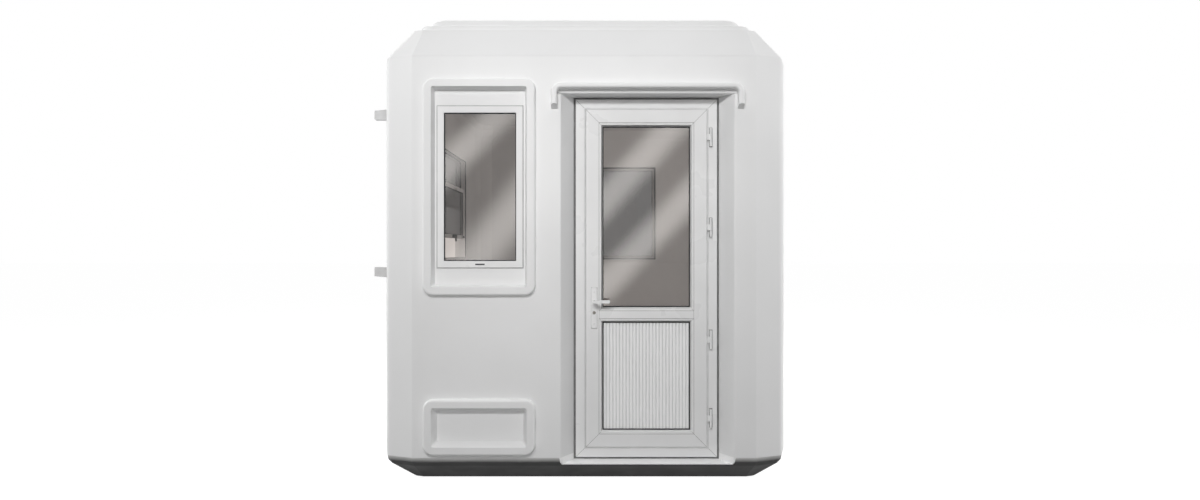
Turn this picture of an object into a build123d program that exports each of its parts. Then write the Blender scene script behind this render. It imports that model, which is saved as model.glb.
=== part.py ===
"""Moulded glass-fibre cabin: base, walls, roof, windows and one hinged door. Millimetres, +Z up.

The origin is the centre of the footprint on the ground. The front, with the door, faces -Y.
"""
import os
from collections import namedtuple
from math import atan2, cos, pi, sin, tan

from build123d import *

os.makedirs("parts", exist_ok=True)

# Plan of the cabin
cabin_width = 2150.0
cabin_depth = 2700.0
wall_thickness = 60.0
facet_reach = 190.0  # distance from a wall's end to where its corner facet starts
corner_cut = 48.0  # how far a corner edge lies inside both wall planes
corner_radius = 34.0

# Base, from the ground to the foot of the walls
base_height = 113.5  # level at which the sloped skirt would meet the wall plane
base_inset = 144.5
base_crease_radius = 60.0

# Roof
eave_height = 2213.0  # level at which the roof slope would meet the wall plane
eave_crease_radius = 20.0
roof_rise = 174.5
roof_inset = 142.0
lower_terrace_inset = 175.0
lower_terrace_height = 36.0
lower_terrace_shoulder = 14.0
upper_terrace_inset = 220.0
upper_terrace_height = 54.5
upper_terrace_shoulder = 48.0
terrace_corner_radius = 60.0
ceiling_rise = 110.0  # ceiling above the wall's head
cove_rise = 69.0  # the room's side goes on nearly upright up to here
cove_inset = 12.0

# Floor
floor_thickness = 12.0
floor_clearance = 4.0

# Door recess and frame, on the front wall
door_x = 325.5  # centre of the doorway
frame_width = 744.0
door_head_drop = 208.6  # top of the frame below the eave
frame_foot = 120.4  # level of the frame's underside
frame_face = 44.0
frame_depth = 75.0
seal_gap = 11.5  # joint between frame and reveal, filled by the seal
seal_set_back = 12.0
recess_depth = 91.0
recess_splay = 63.5
reveal_land = 40.0  # width of front face that belongs to each reveal
reveal_edge_radius = 10.0
sill_fall = 2.0
sill_tray_depth = 5.0
sill_upstand = 7.0

# Door leaf
leaf_gap = 9.0
leaf_proud = 5.0
leaf_thickness = 56.0
leaf_stop_gap = 5.0
leaf_stop_overlap = 15.0
leaf_edge_radius = 3.0
stile_width = 70.0
mid_rail_height = 42.5
mid_rail_level = 871.0  # centre of the middle rail
bead_width = 18.0
bead_set_back = 3.0
bead_slope = 8.0
back_flange = 12.0
pane_thickness = 24.0
pane_clearance = 3.0
rib_count = 28
rib_depth = 4.0

# Door furniture
handle_inset = 44.0  # handle line from the leaf's lock-side edge
plate_width = 31.0
plate_height = 214.0
plate_thickness = 8.0
plate_level = 906.5
plate_corner = 6.0
lever_level = 941.0
lever_reach = 82.0
lever_root = 14.0
lever_tip = 17.0
lever_depth = 12.0
lever_stand_off = 32.0
lever_corner = 5.0
neck_diameter = 16.0
neck_clearance = 0.5
spindle_diameter = 8.0
spindle_clearance = 1.5
lock_level = 882.0
lock_diameter = 17.0
lock_clearance = 0.3
lock_proud = 3.0

# Hinges
hinge_level_shares = (0.086, 0.319, 0.651, 0.918)  # of the leaf's height, from its foot
hinge_length = 98.0
hinge_diameter = 13.0
hinge_offset = 19.0  # hinge line beyond the leaf's edge
hinge_stand_off = 8.0  # hinge line in front of the leaf's face
hinge_gap = 1.0
pin_diameter = 6.0
pin_clearance = 0.5
hinge_strap = 3.0
hinge_plate_depth = 40.0
hinge_foot_width = 8.0

# Drip moulding over the doorway
drip_overhang = 47.0  # beyond the recess on each side
drip_rise = 53.0  # top of the moulding above the recess
drip_leg = 132.0
drip_band = 31.0
drip_proud = 40.0
drip_corner = 52.0
drip_edge_radius = 13.0
drip_end_slant = 22.0

# Windows
window_drop = 675.0  # centre of every window below the eave
window_height = 832.5
window_face = 33.0
window_depth = 60.0
window_set_back = 15.0
glass_set_back = 10.0
glass_thickness = 24.0
glass_cover = 28.0
front_window_x = -539.0
front_window_width = 439.5
side_window_width = 1450.0
back_window_width = 1164.0

# Vertical sliding windows of the two sides
transom_height = 28.0
slider_glass = 8.0
sash_thickness = 22.0
sash_face = 28.0
sash_gap = 3.0
sash_clearance = 0.3
left_sash_lift = 145.0
right_sash_lift = 0.0

# Moulded surrounds of the windows and of the blank panels below them
surround_side = 68.5
surround_head = 138.0
surround_foot = 144.0
surround_face = 43.0
surround_proud = 25.0
surround_corner = 55.0
surround_lip_corner = 12.0
surround_edge_radius = 12.0
surround_plug_wall = 8.0
pocket_depth = 20.0
pocket_taper = 11.0
blank_level = 302.8
blank_height = 288.0
blank_taper = 22.0
blank_backing = 20.0

# Lugs on the left wall
lug_set_back = 250.0  # centre of the lugs behind the front face
lug_width = 31.0
lug_reach = 80.0
lug_height = 57.0
lug_taper = 7.0
upper_lug_drop = 259.0  # centre of a lug below the eave
lower_lug_drop = 1124.0
lug_edge_radius = 4.0


# Worked out from the sizes above
half_width = cabin_width / 2
half_depth = cabin_depth / 2
flat_x = half_width - facet_reach
flat_y = half_depth - facet_reach
facet_angle = atan2(corner_cut, facet_reach - corner_cut)
skirt_angle = atan2(base_inset, base_height)
base_top = base_height + base_crease_radius * tan(skirt_angle / 2)
slope_angle = atan2(roof_inset, roof_rise)
wall_top = eave_height - eave_crease_radius * tan(slope_angle / 2)
roof_top = eave_height + roof_rise
cove_foot_inset = wall_thickness + cove_inset
ceiling_inset = cove_foot_inset + (ceiling_rise - cove_rise) * roof_inset / roof_rise
frame_height = eave_height - door_head_drop - frame_foot
window_level = eave_height - window_drop
lug_y = lug_set_back - half_depth
lug_levels = (eave_height - lower_lug_drop, eave_height - upper_lug_drop)

# One plane on the outer face of each wall: x along the wall, y up, z out of the cabin
front_face = Plane(origin=(0, -half_depth, 0), x_dir=(1, 0, 0), z_dir=(0, -1, 0))
back_face = Plane(origin=(0, half_depth, 0), x_dir=(-1, 0, 0), z_dir=(0, 1, 0))
left_face = Plane(origin=(-half_width, 0, 0), x_dir=(0, -1, 0), z_dir=(-1, 0, 0))
right_face = Plane(origin=(half_width, 0, 0), x_dir=(0, 1, 0), z_dir=(1, 0, 0))

# Rectangles on a wall, each given by its centre and size
Panel = namedtuple("Panel", "x y width height")


def grown(panel, side, head, foot):
    """The panel with margins added at its sides, head and foot."""
    return Panel(panel.x, panel.y + (head - foot) / 2, panel.width + 2 * side, panel.height + head + foot)


def inner(panel, margin):
    """The panel made smaller by one margin all round."""
    return grown(panel, -margin, -margin, -margin)


def panel_sketch(plane, panel, corner=0.0):
    """The panel drawn on a plane, with rounded corners where a radius is given."""
    with BuildSketch(plane) as sketch:
        with Locations((panel.x, panel.y)):
            if corner > 0:
                RectangleRounded(panel.width, panel.height, corner)
            else:
                Rectangle(panel.width, panel.height)
    return sketch.sketch


def save(piece, name):
    """Label a finished piece and write it as one file."""
    piece.label = name
    export_step(piece, f"parts/{name}.step")
    print(name, round(piece.volume), "cubic mm")


# The cabin's plan outline


def plan_points(inset):
    """Corner points of the plan outline, moved inwards all round."""
    shift = facet_reach + inset * tan(facet_angle / 2)
    edge = corner_cut + inset / (sin(facet_angle) + cos(facet_angle))
    quarter = [
        (half_width - shift, half_depth - inset),
        (half_width - edge, half_depth - edge),
        (half_width - inset, half_depth - shift),
    ]
    right_side = quarter + [(x, -y) for x, y in reversed(quarter)]
    return right_side + [(-x, -y) for x, y in right_side]


def plan_sketch(level, inset):
    """The plan outline at one level, with its four corner edges rounded."""
    with BuildSketch(Plane.XY.offset(level)) as sketch:
        with BuildLine():
            Polyline(*plan_points(inset), close=True)
        make_face()
        corner_points = [plan_points(inset)[i] for i in (1, 4, 7, 10)]
        corners = [sketch.vertices().sort_by_distance((x, y, 0))[0] for x, y in corner_points]
        fillet(corners, radius=corner_radius)
    return sketch.sketch


def crease(level, radius, slope, side):
    """Levels and insets of a rounded crease between a wall and a slope above (1) or below (-1) it."""
    start = level - side * radius * tan(slope / 2)
    shares = (0.0, 0.5, 1.0)
    return [(start + side * radius * sin(slope * s), radius * (1 - cos(slope * s))) for s in shares]


# Base with the notch for the door sill

base_levels = [(0, base_inset)] + crease(base_height, base_crease_radius, skirt_angle, -1)[::-1]
base_sections = [plan_sketch(level, inset) for level, inset in base_levels]

opening_width = frame_width + 2 * seal_gap
sill_level = frame_foot - seal_gap
soffit_level = frame_foot + frame_height + seal_gap
recess_width = opening_width + 2 * recess_splay
recess_back = -half_depth + recess_depth
frame_back = recess_back + frame_depth
tray_foot = sill_level - sill_fall - sill_tray_depth


def doorway_plan(level, growth):
    """The splayed plan of the doorway from the front plane to the back of the frame."""
    half_out = recess_width / 2 + growth
    half_in = opening_width / 2 + growth
    with BuildSketch(Plane.XY.offset(level)) as sketch:
        with BuildLine():
            Polyline(
                (door_x - half_out, -half_depth),
                (door_x - half_in, recess_back),
                (door_x - half_in, frame_back),
                (door_x + half_in, frame_back),
                (door_x + half_in, recess_back),
                (door_x + half_out, -half_depth),
                close=True,
            )
        make_face()
    return sketch.sketch


with BuildPart() as base_tray:
    loft(base_sections, ruled=True)
    extrude(doorway_plan(tray_foot, sill_upstand), amount=base_top - tray_foot, mode=Mode.SUBTRACT)
save(base_tray.part, "base_tray")

# The sill tray fills the notch, keeps the skirt's slope at its front and falls outwards

with BuildPart() as sill_room:
    extrude(doorway_plan(tray_foot, 0), amount=base_top - tray_foot)
    with BuildSketch(Plane.YZ.offset(door_x - recess_width / 2)):
        with BuildLine():
            Polyline(
                (-half_depth, sill_level - sill_fall),
                (recess_back, sill_level),
                (frame_back, sill_level),
                (frame_back, base_top),
                (-half_depth, base_top),
                close=True,
            )
        make_face()
    extrude(amount=recess_width, mode=Mode.INTERSECT)

with BuildPart() as door_sill:
    loft(base_sections, ruled=True)
    extrude(doorway_plan(tray_foot, sill_upstand), amount=base_top - tray_foot, mode=Mode.INTERSECT)
    add(sill_room.part, mode=Mode.SUBTRACT)
save(door_sill.part, "door_sill")

with BuildPart() as floor_deck:
    extrude(plan_sketch(base_top, wall_thickness + floor_clearance), amount=floor_thickness)
    with BuildSketch(Plane.XY.offset(base_top)):
        with Locations((door_x, -half_depth)):
            Rectangle(recess_width + 2 * reveal_land + 2 * floor_clearance, 2 * (recess_depth + frame_depth))
    extrude(amount=floor_thickness, mode=Mode.SUBTRACT)
save(floor_deck.part, "floor_deck")

# Window and blank panels on the walls

front_window = Panel(front_window_x, window_level, front_window_width, window_height)
side_window = Panel(0, window_level, side_window_width, window_height)
back_window = Panel(0, window_level, back_window_width, window_height)


def ring_of(window):
    """Outer edge of the moulded surround of a window."""
    return grown(window, surround_side, surround_head, surround_foot)


def blank_of(window):
    """Outer edge of the blank panel below a window, as wide as the window's surround."""
    return Panel(window.x, blank_level, ring_of(window).width, blank_height)


def plug_of(ring):
    """The part of a surround that passes through the wall."""
    return inner(ring, surround_face - surround_plug_wall)


def wall_slab(plane, panel, windows):
    """A flat wall with the openings for the surrounds of its windows and blank panels."""
    with BuildPart() as wall:
        extrude(panel_sketch(plane.offset(-wall_thickness), panel), amount=wall_thickness)
        for window in windows:
            for ring in (ring_of(window), blank_of(window)):
                hole = panel_sketch(plane.offset(-wall_thickness), plug_of(ring), surround_lip_corner)
                extrude(hole, amount=wall_thickness, mode=Mode.SUBTRACT)
    return wall.part


def between(low, high, foot, head):
    """A panel given by its two ends and its two levels."""
    return Panel((low + high) / 2, (foot + head) / 2, high - low, head - foot)


reveal_left = door_x - recess_width / 2 - reveal_land
reveal_right = door_x + recess_width / 2 + reveal_land
head_level = soffit_level + reveal_land

save(wall_slab(front_face, between(-flat_x, reveal_left, base_top, wall_top), [front_window]), "front_wall_left")
save(wall_slab(front_face, between(reveal_right, flat_x, base_top, wall_top), []), "front_wall_right")
save(wall_slab(front_face, between(reveal_left, reveal_right, head_level, wall_top), []), "front_wall_head")
save(wall_slab(back_face, between(-flat_x, flat_x, base_top, wall_top), [back_window]), "back_wall")
save(wall_slab(left_face, between(-flat_y, flat_y, base_top, wall_top), [side_window]), "left_wall")
save(wall_slab(right_face, between(-flat_y, flat_y, base_top, wall_top), [side_window]), "right_wall")

# Corner modules, two shallow facets each


def corner_module(side_x, side_y):
    """The corner piece on one side of the cabin in x (-1 or 1) and in y (-1 or 1)."""
    edge = corner_cut + wall_thickness / (sin(facet_angle) + cos(facet_angle))
    outline = [
        (flat_x, half_depth),
        (half_width - corner_cut, half_depth - corner_cut),
        (half_width, flat_y),
        (half_width - wall_thickness, flat_y),
        (half_width - edge, half_depth - edge),
        (flat_x, half_depth - wall_thickness),
    ]
    with BuildPart() as corner:
        with BuildSketch(Plane.XY.offset(base_top)) as section:
            with BuildLine():
                Polyline(*[(side_x * x, side_y * y) for x, y in outline], close=True)
            make_face()
            apex = section.vertices().sort_by_distance((side_x * outline[1][0], side_y * outline[1][1], 0))[0]
            fillet(apex, radius=corner_radius)
        extrude(amount=wall_top - base_top)
    return corner.part


for side_x, x_name in ((-1, "left"), (1, "right")):
    for side_y, y_name in ((-1, "front"), (1, "back")):
        save(corner_module(side_x, side_y), f"corner_{y_name}_{x_name}")

# Reveals of the doorway


def door_reveal(side):
    """The splayed side of the doorway, left (-1) or right (1)."""
    mouth = recess_width / 2
    throat = opening_width / 2
    outline = [
        (mouth + reveal_land, -half_depth),
        (mouth, -half_depth),
        (throat, recess_back),
        (throat, frame_back),
        (throat + reveal_land, frame_back),
        (mouth + reveal_land, -half_depth + wall_thickness),
    ]
    with BuildPart() as reveal:
        with BuildSketch(Plane.XY.offset(base_top)) as section:
            with BuildLine():
                Polyline(*[(door_x + side * x, y) for x, y in outline], close=True)
            make_face()
            lip = section.vertices().sort_by_distance((door_x + side * mouth, -half_depth, 0))[0]
            fillet(lip, radius=reveal_edge_radius)
        extrude(amount=soffit_level - base_top)
    return reveal.part


save(door_reveal(-1), "door_reveal_left")
save(door_reveal(1), "door_reveal_right")

with BuildPart() as door_reveal_head:
    with BuildSketch(Plane.YZ.offset(reveal_left)) as head_section:
        with BuildLine():
            Polyline(
                (-half_depth, soffit_level),
                (frame_back, soffit_level),
                (frame_back, head_level),
                (-half_depth, head_level),
                close=True,
            )
        make_face()
        head_lip = head_section.vertices().sort_by_distance((-half_depth, soffit_level, 0))[0]
        fillet(head_lip, radius=reveal_edge_radius)
    extrude(amount=reveal_right - reveal_left)
save(door_reveal_head.part, "door_reveal_head")

# Roof: eave and slope, then two low terraces with round shoulders, hollow below the ceiling


def terrace_section(level, inset):
    """Plan outline of a roof terrace."""
    with BuildSketch(Plane.XY.offset(level)) as sketch:
        RectangleRounded(cabin_width - 2 * inset, cabin_depth - 2 * inset, terrace_corner_radius)
    return sketch.sketch


def terrace(level, inset, height, shoulder):
    """A low terrace whose side is a quarter of an ellipse."""
    shares = (0.0, 0.2, 0.4, 0.6, 0.8, 1.0)
    turns = [share * pi / 2 for share in shares]
    sections = [terrace_section(level + height * sin(t), inset + shoulder * (1 - cos(t))) for t in turns]
    with BuildPart() as step:
        loft(sections, ruled=True)
    return step.part


lower_terrace_top = roof_top + lower_terrace_height
eave_levels = crease(eave_height, eave_crease_radius, slope_angle, 1) + [(roof_top, roof_inset)]
ceiling_sections = [
    (wall_top, wall_thickness),
    (wall_top + cove_rise, cove_foot_inset),
    (wall_top + ceiling_rise, ceiling_inset),
]
with BuildPart() as ceiling_room:
    loft([plan_sketch(level, inset) for level, inset in ceiling_sections], ruled=True)

with BuildPart() as roof_shell:
    loft([plan_sketch(level, inset) for level, inset in eave_levels], ruled=True)
    add(terrace(roof_top, lower_terrace_inset, lower_terrace_height, lower_terrace_shoulder))
    add(terrace(lower_terrace_top, upper_terrace_inset, upper_terrace_height, upper_terrace_shoulder))
    add(ceiling_room.part, mode=Mode.SUBTRACT)
save(roof_shell.part, "roof_shell")

# Drip moulding over the doorway

drip_half = recess_width / 2 + drip_overhang
drip_top = soffit_level + drip_rise
with BuildPart() as drip_moulding:
    with BuildSketch(front_face) as drip_band_sketch:
        with BuildLine():
            Polyline(
                (door_x - drip_half, drip_top - drip_leg),
                (door_x - drip_half, drip_top),
                (door_x + drip_half, drip_top),
                (door_x + drip_half, drip_top - drip_leg),
                (door_x + drip_half - drip_band, drip_top - drip_leg),
                (door_x + drip_half - drip_band, drip_top - drip_band),
                (door_x - drip_half + drip_band, drip_top - drip_band),
                (door_x - drip_half + drip_band, drip_top - drip_leg),
                close=True,
            )
        make_face()
        inner_bends = drip_band_sketch.vertices().group_by(Axis.Y)[-2]
        fillet(inner_bends, radius=drip_corner - drip_band)
        outer_bends = drip_band_sketch.vertices().group_by(Axis.Y)[-1]
        fillet(outer_bends, radius=drip_corner)
    extrude(amount=drip_proud)
    drip_front = drip_moulding.faces().sort_by(Axis.Y)[0]
    drip_rim = [edge for edge in drip_front.edges() if edge.center().Z > drip_top - drip_leg + drip_end_slant]
    fillet(drip_rim, radius=drip_edge_radius)
    with BuildSketch(Plane.YZ.offset(door_x - drip_half)):
        with BuildLine():
            Polyline(
                (-half_depth, drip_top - drip_leg),
                (-half_depth - drip_proud, drip_top - drip_leg),
                (-half_depth - drip_proud, drip_top - drip_leg + drip_end_slant),
                close=True,
            )
        make_face()
    extrude(amount=2 * drip_half, mode=Mode.SUBTRACT)
save(drip_moulding.part, "drip_moulding")

# Moulded surrounds


def surround_ring(plane, ring, taper, floor_back):
    """A raised ring on the wall's face with a tapered pocket; its back passes through the wall."""
    lip = inner(ring, surround_face)
    with BuildPart() as surround:
        extrude(panel_sketch(plane, ring, surround_corner), amount=surround_proud)
        front = surround.faces().sort_by(Axis(plane.origin, plane.z_dir))[-1]
        fillet(front.edges(), radius=surround_edge_radius)
        extrude(panel_sketch(plane.offset(-floor_back), plug_of(ring), surround_lip_corner), amount=floor_back)
        mouth = panel_sketch(plane.offset(surround_proud), lip, surround_lip_corner)
        floor = panel_sketch(plane.offset(-pocket_depth), inner(lip, taper), surround_lip_corner)
        loft([floor, mouth], ruled=True, mode=Mode.SUBTRACT)
    return surround.part


def window_surround(plane, window):
    """The surround of a window, with the opening for the window's frame."""
    with BuildPart() as surround:
        add(surround_ring(plane, ring_of(window), pocket_taper, wall_thickness))
        extrude(panel_sketch(plane.offset(-wall_thickness), window), amount=wall_thickness, mode=Mode.SUBTRACT)
    return surround.part


def blank_panel(plane, window):
    """The blank panel below a window."""
    return surround_ring(plane, blank_of(window), blank_taper, pocket_depth + blank_backing)


walls = {
    "front": (front_face, front_window),
    "back": (back_face, back_window),
    "left": (left_face, side_window),
    "right": (right_face, side_window),
}
for name, (plane, window) in walls.items():
    save(window_surround(plane, window), f"{name}_window_surround")
    save(blank_panel(plane, window), f"{name}_blank_panel")

# Fixed windows: a frame with a rebate at the back, and the glass unit in it


def window_frame(plane, window):
    """A window frame whose glass lies in a rebate open to the inside."""
    opening = inner(window, window_face)
    back = window_set_back + window_depth
    with BuildPart() as frame:
        extrude(panel_sketch(plane.offset(-back), window), amount=window_depth)
        extrude(panel_sketch(plane.offset(-back), opening), amount=window_depth, mode=Mode.SUBTRACT)
        rebate = panel_sketch(plane.offset(-back), inner(opening, -glass_cover))
        extrude(rebate, amount=window_depth - glass_set_back, mode=Mode.SUBTRACT)
    return frame.part


def window_glass(plane, window):
    """The glass unit of a fixed window."""
    pane = inner(window, window_face - glass_cover)
    depth = window_set_back + glass_set_back + glass_thickness
    with BuildPart() as glass:
        extrude(panel_sketch(plane.offset(-depth), pane), amount=glass_thickness)
    return glass.part


for name in ("front", "back"):
    plane, window = walls[name]
    save(window_frame(plane, window), f"{name}_window_frame")
    save(window_glass(plane, window), f"{name}_window_glass")

# Sliding windows: a frame with a transom, a fixed upper pane and a sash that lifts behind it

transom = Panel(side_window.x, side_window.y, side_window.width - 2 * window_face, transom_height)
pane_depth = window_set_back + glass_set_back + slider_glass
sash_depth = pane_depth + sash_gap + sash_thickness


def slider_frame(plane):
    """The frame of a sliding window with its fixed transom."""
    back = window_set_back + window_depth
    with BuildPart() as frame:
        extrude(panel_sketch(plane.offset(-back), side_window), amount=window_depth)
        opening = panel_sketch(plane.offset(-back), inner(side_window, window_face))
        extrude(opening, amount=window_depth, mode=Mode.SUBTRACT)
        extrude(panel_sketch(plane.offset(-pane_depth), transom), amount=slider_glass + glass_set_back)
    return frame.part


def sash_panel(lift):
    """Outer edge of the lifting sash, raised by a given height."""
    opening = inner(side_window, window_face)
    foot = opening.y - opening.height / 2 + lift
    head = foot + (opening.height + transom_height) / 2
    half = opening.width / 2 - sash_clearance
    return between(opening.x - half, opening.x + half, foot, head)


def slider_glass_panes(plane, lift):
    """The fixed upper pane and the pane inside the sash."""
    opening = inner(side_window, window_face)
    left = opening.x - opening.width / 2
    upper = between(left, left + opening.width, transom.y + transom_height / 2, opening.y + opening.height / 2)
    with BuildPart() as panes:
        extrude(panel_sketch(plane.offset(-pane_depth), upper), amount=slider_glass)
        lower = panel_sketch(plane.offset(-(sash_depth + pane_depth + sash_gap + slider_glass) / 2),
                             inner(sash_panel(lift), sash_face))
        extrude(lower, amount=slider_glass)
    return panes.part


def sash_frame(plane, lift):
    """The four bars of the lifting sash."""
    panel = sash_panel(lift)
    with BuildPart() as sash:
        extrude(panel_sketch(plane.offset(-sash_depth), panel), amount=sash_thickness)
        hole = panel_sketch(plane.offset(-sash_depth), inner(panel, sash_face))
        extrude(hole, amount=sash_thickness, mode=Mode.SUBTRACT)
    return sash.part


for name, lift in (("left", left_sash_lift), ("right", right_sash_lift)):
    plane = walls[name][0]
    save(slider_frame(plane), f"{name}_window_frame")
    save(sash_frame(plane, lift), f"{name}_window_sash")
    save(slider_glass_panes(plane, lift), f"{name}_window_glass")

# Lugs on the left wall: the upper one is tapered on top, the lower one underneath

with BuildPart() as side_lugs:
    for level, taper_top in zip(lug_levels, (0.0, 1.0)):
        foot = level - lug_height / 2
        head = level + lug_height / 2
        with BuildSketch(Plane.XZ.offset(-lug_y - lug_width / 2)) as lug_sketch:
            with BuildLine():
                Polyline(
                    (-half_width, foot),
                    (-half_width - lug_reach, foot + lug_taper * (1 - taper_top)),
                    (-half_width - lug_reach, head - lug_taper * taper_top),
                    (-half_width, head),
                    close=True,
                )
            make_face()
            fillet(lug_sketch.vertices().group_by(Axis.X)[0], radius=lug_edge_radius)
        extrude(amount=lug_width)
save(side_lugs.part, "side_lugs")

# Door frame and the seal around it

door_frame_panel = Panel(door_x, frame_foot + frame_height / 2, frame_width, frame_height)
leaf_room = inner(door_frame_panel, frame_face)
leaf = inner(leaf_room, leaf_gap)
stop_depth = recess_depth + leaf_thickness - leaf_proud + leaf_stop_gap
frame_end = recess_depth + frame_depth

with BuildPart() as door_frame:
    extrude(panel_sketch(front_face.offset(-frame_end), door_frame_panel), amount=frame_depth)
    extrude(panel_sketch(front_face.offset(-stop_depth), leaf_room), amount=frame_depth, mode=Mode.SUBTRACT)
    stop_room = panel_sketch(front_face.offset(-frame_end), inner(leaf, leaf_stop_overlap))
    extrude(stop_room, amount=frame_depth, mode=Mode.SUBTRACT)
save(door_frame.part, "door_frame")

with BuildPart() as door_frame_seal:
    seal_outer = panel_sketch(front_face.offset(-frame_end), inner(door_frame_panel, -seal_gap))
    extrude(seal_outer, amount=frame_depth - seal_set_back)
    seal_inner = panel_sketch(front_face.offset(-frame_end), door_frame_panel)
    extrude(seal_inner, amount=frame_depth, mode=Mode.SUBTRACT)
save(door_frame_seal.part, "door_frame_seal")

# Door leaf: stiles, rails and the flange at the back that holds the panes

leaf_front = recess_depth - leaf_proud
leaf_back = leaf_front + leaf_thickness
leaf_left = leaf.x - leaf.width / 2
leaf_right = leaf.x + leaf.width / 2
leaf_foot = leaf.y - leaf.height / 2
leaf_head = leaf.y + leaf.height / 2
upper_light = between(
    leaf_left + stile_width, leaf_right - stile_width, mid_rail_level + mid_rail_height / 2, leaf_head - stile_width
)
lower_light = between(
    leaf_left + stile_width, leaf_right - stile_width, leaf_foot + stile_width, mid_rail_level - mid_rail_height / 2
)
lights = (upper_light, lower_light)
handle_x = leaf_left + handle_inset
leaf_front_plane = front_face.offset(-leaf_front)
leaf_back_plane = front_face.offset(-leaf_back)

with BuildPart() as door_leaf:
    extrude(panel_sketch(leaf_back_plane, leaf), amount=leaf_thickness)
    fillet(door_leaf.faces().sort_by(Axis.Y)[0].edges(), radius=leaf_edge_radius)
    for light in lights:
        seat = panel_sketch(leaf_back_plane.offset(back_flange), light)
        extrude(seat, amount=leaf_thickness, mode=Mode.SUBTRACT)
        extrude(panel_sketch(leaf_back_plane, inner(light, bead_width)), amount=leaf_thickness, mode=Mode.SUBTRACT)
    with BuildSketch(leaf_back_plane):
        with Locations((handle_x, lever_level)):
            Circle(spindle_diameter / 2 + spindle_clearance)
        with Locations((handle_x, lock_level)):
            Circle(lock_diameter / 2 + lock_clearance)
    extrude(amount=leaf_thickness, mode=Mode.SUBTRACT)
save(door_leaf.part, "door_leaf")

pane_plane = leaf_back_plane.offset(back_flange)
with BuildPart() as door_glass:
    extrude(panel_sketch(pane_plane, inner(upper_light, pane_clearance)), amount=pane_thickness)
save(door_glass.part, "door_glass")

# The lower panel has round upright ribs on its outer face

rib_panel = inner(lower_light, pane_clearance)
with BuildPart() as door_panel:
    rib_foot = rib_panel.y - rib_panel.height / 2
    rib_left = rib_panel.x - rib_panel.width / 2
    rib_pitch = rib_panel.width / rib_count
    back_y = pane_plane.origin.Y
    valley_y = back_y - pane_thickness + rib_depth
    with BuildSketch(Plane.XY.offset(rib_foot)):
        with BuildLine():
            Polyline(
                (rib_left, valley_y),
                (rib_left, back_y),
                (rib_left + rib_panel.width, back_y),
                (rib_left + rib_panel.width, valley_y),
            )
            for rib in range(rib_count):
                start = rib_left + rib * rib_pitch
                ThreePointArc(
                    (start, valley_y),
                    (start + rib_pitch / 2, valley_y - rib_depth),
                    (start + rib_pitch, valley_y),
                )
        make_face()
    extrude(amount=rib_panel.height)
save(door_panel.part, "door_panel")

bead_foot = pane_plane.offset(pane_thickness)
bead_depth = leaf_thickness - back_flange - pane_thickness - bead_set_back
with BuildPart() as door_beads:
    for light in lights:
        extrude(panel_sketch(bead_foot, light), amount=bead_depth)
        foot = panel_sketch(bead_foot, inner(light, bead_width))
        mouth = panel_sketch(bead_foot.offset(bead_depth), inner(light, bead_width - bead_slope))
        loft([foot, mouth], ruled=True, mode=Mode.SUBTRACT)
save(door_beads.part, "door_beads")

# Handle plates, lock and the two levers on one spindle


def handle_plate(plane):
    """A handle plate on a face of the leaf, bored for the spindle and the lock."""
    with BuildPart() as plate:
        extrude(panel_sketch(plane, Panel(handle_x, plate_level, plate_width, plate_height), plate_corner),
                amount=plate_thickness)
        rim = plate.faces().sort_by(Axis(plane.origin, plane.z_dir))[-1].edges()
        chamfer(rim, length=plate_thickness / 4)
        with BuildSketch(plane):
            with Locations((handle_x, lever_level)):
                Circle(spindle_diameter / 2 + spindle_clearance)
            with Locations((handle_x, lock_level)):
                Circle(lock_diameter / 2 + lock_clearance)
        extrude(amount=plate_thickness, mode=Mode.SUBTRACT)
    return plate.part


inner_leaf_plane = Plane(
    origin=leaf_back_plane.origin + Vector(2 * handle_x, 0, 0), x_dir=(-1, 0, 0), z_dir=(0, 1, 0)
)
save(handle_plate(leaf_front_plane), "handle_plate_outside")
save(handle_plate(inner_leaf_plane), "handle_plate_inside")

with BuildPart() as lock_cylinder:
    with BuildSketch(leaf_back_plane.offset(-plate_thickness - lock_proud)):
        with Locations((handle_x, lock_level)):
            Circle(lock_diameter / 2)
    extrude(amount=leaf_thickness + 2 * (plate_thickness + lock_proud))
save(lock_cylinder.part, "lock_cylinder")


def add_lever(plane, direction):
    """A neck and a lever, pointing along x (1) or against it (-1) on the given plane."""
    with BuildPart() as lever:
        with BuildSketch(plane.offset(plate_thickness + neck_clearance)):
            with Locations((handle_x, lever_level)):
                Circle(neck_diameter / 2)
        extrude(amount=lever_stand_off - neck_clearance)
        with BuildSketch(plane.offset(plate_thickness + lever_stand_off)) as bar:
            root = handle_x - direction * neck_diameter / 2
            tip = handle_x + direction * lever_reach
            with BuildLine():
                Polyline(
                    (root, lever_level - lever_root / 2),
                    (tip, lever_level - lever_root / 2),
                    (tip, lever_level + lever_tip - lever_root / 2),
                    (root, lever_level + lever_root / 2),
                    close=True,
                )
            make_face()
            fillet(bar.vertices(), radius=lever_corner)
        extrude(amount=lever_depth)
    return lever.part


with BuildPart() as handle_levers:
    add(add_lever(leaf_front_plane, 1))
    add(add_lever(inner_leaf_plane, -1))
    with BuildSketch(leaf_back_plane.offset(-plate_thickness - lever_stand_off)):
        with Locations((handle_x, lever_level)):
            Circle(spindle_diameter / 2)
    extrude(amount=leaf_thickness + 2 * (plate_thickness + lever_stand_off))
save(handle_levers.part, "handle_levers")

# Hinges: each has two knuckles with a pin on the frame and one knuckle on the leaf

hinge_x = leaf_right + hinge_offset
hinge_y = -half_depth + leaf_front - hinge_stand_off
frame_front_y = -half_depth + recess_depth
leaf_front_y = -half_depth + leaf_front
knuckle_length = (hinge_length - 2 * hinge_gap) / 3
hinge_levels = [leaf.y + leaf.height * (share - 1 / 2) for share in hinge_level_shares]

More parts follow.
